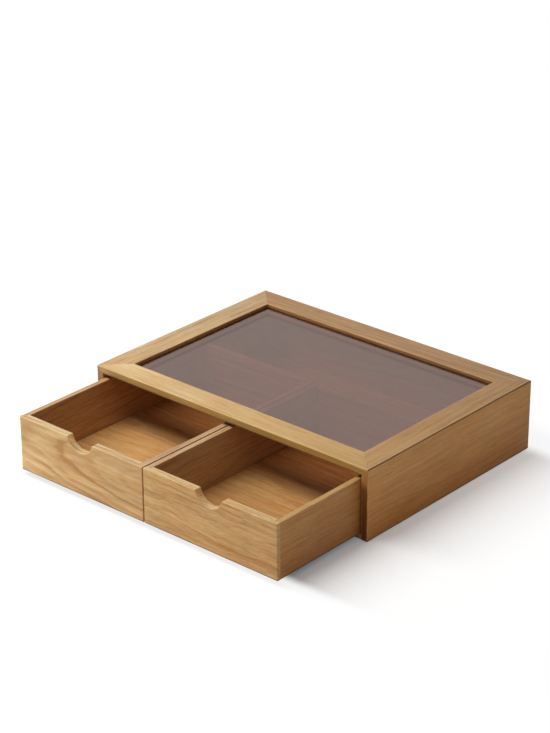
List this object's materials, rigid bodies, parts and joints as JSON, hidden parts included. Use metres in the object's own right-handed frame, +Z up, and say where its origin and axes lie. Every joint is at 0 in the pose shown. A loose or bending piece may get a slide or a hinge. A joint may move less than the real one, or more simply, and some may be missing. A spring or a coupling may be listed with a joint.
{
  "type": "pod drawer case",
  "caption": "Low free-standing wooden case with a smoked glass top set in a mitred frame and side-by-side pull-out drawers with half-moon finger notches.",
  "frame": {"origin": "middle of the case's underside, on the surface it stands on", "axes": "+Z up, drawers open towards -Y, +X to the right when looking at the drawer fronts"},
  "size_m": [0.42, 0.4425, 0.089],
  "materials": {
    "case_wood": "oiled honey oak, open grain, eased edges",
    "drawer_wood": "oiled honey oak, open grain",
    "drawer_bottom_wood": "oak-faced sheet, satin",
    "ledge_wood": "oiled oak strip",
    "smoked_glass": "smoked brown, polished, seamed edges"
  },
  "bodies": {
    "case": {"left_side_panel": "case_wood", "right_side_panel": "case_wood", "base_panel": "case_wood", "back_panel": "case_wood", "front_top_rail": "case_wood", "rear_top_rail": "case_wood", "left_top_rail": "case_wood", "right_top_rail": "case_wood", "front_glass_ledge": "ledge_wood", "rear_glass_ledge": "ledge_wood", "left_glass_ledge": "ledge_wood", "right_glass_ledge": "ledge_wood", "glass_top": "smoked_glass"},
    "left_drawer": {"left_drawer_front": "drawer_wood", "left_drawer_left_side": "drawer_wood", "left_drawer_right_side": "drawer_wood", "left_drawer_back": "drawer_wood", "left_drawer_bottom": "drawer_bottom_wood"},
    "right_drawer": {"right_drawer_front": "drawer_wood", "right_drawer_left_side": "drawer_wood", "right_drawer_right_side": "drawer_wood", "right_drawer_back": "drawer_wood", "right_drawer_bottom": "drawer_bottom_wood"}
  },
  "joints": [
    {"name": "left_drawer_slide", "type": "slide", "parent": "case", "child": "left_drawer", "axis": [0, -1, 0], "range_m": [-0.1375, 0.085]},
    {"name": "right_drawer_slide", "type": "slide", "parent": "case", "child": "right_drawer", "axis": [0, -1, 0], "range_m": [-0.1375, 0.085]}
  ]
}
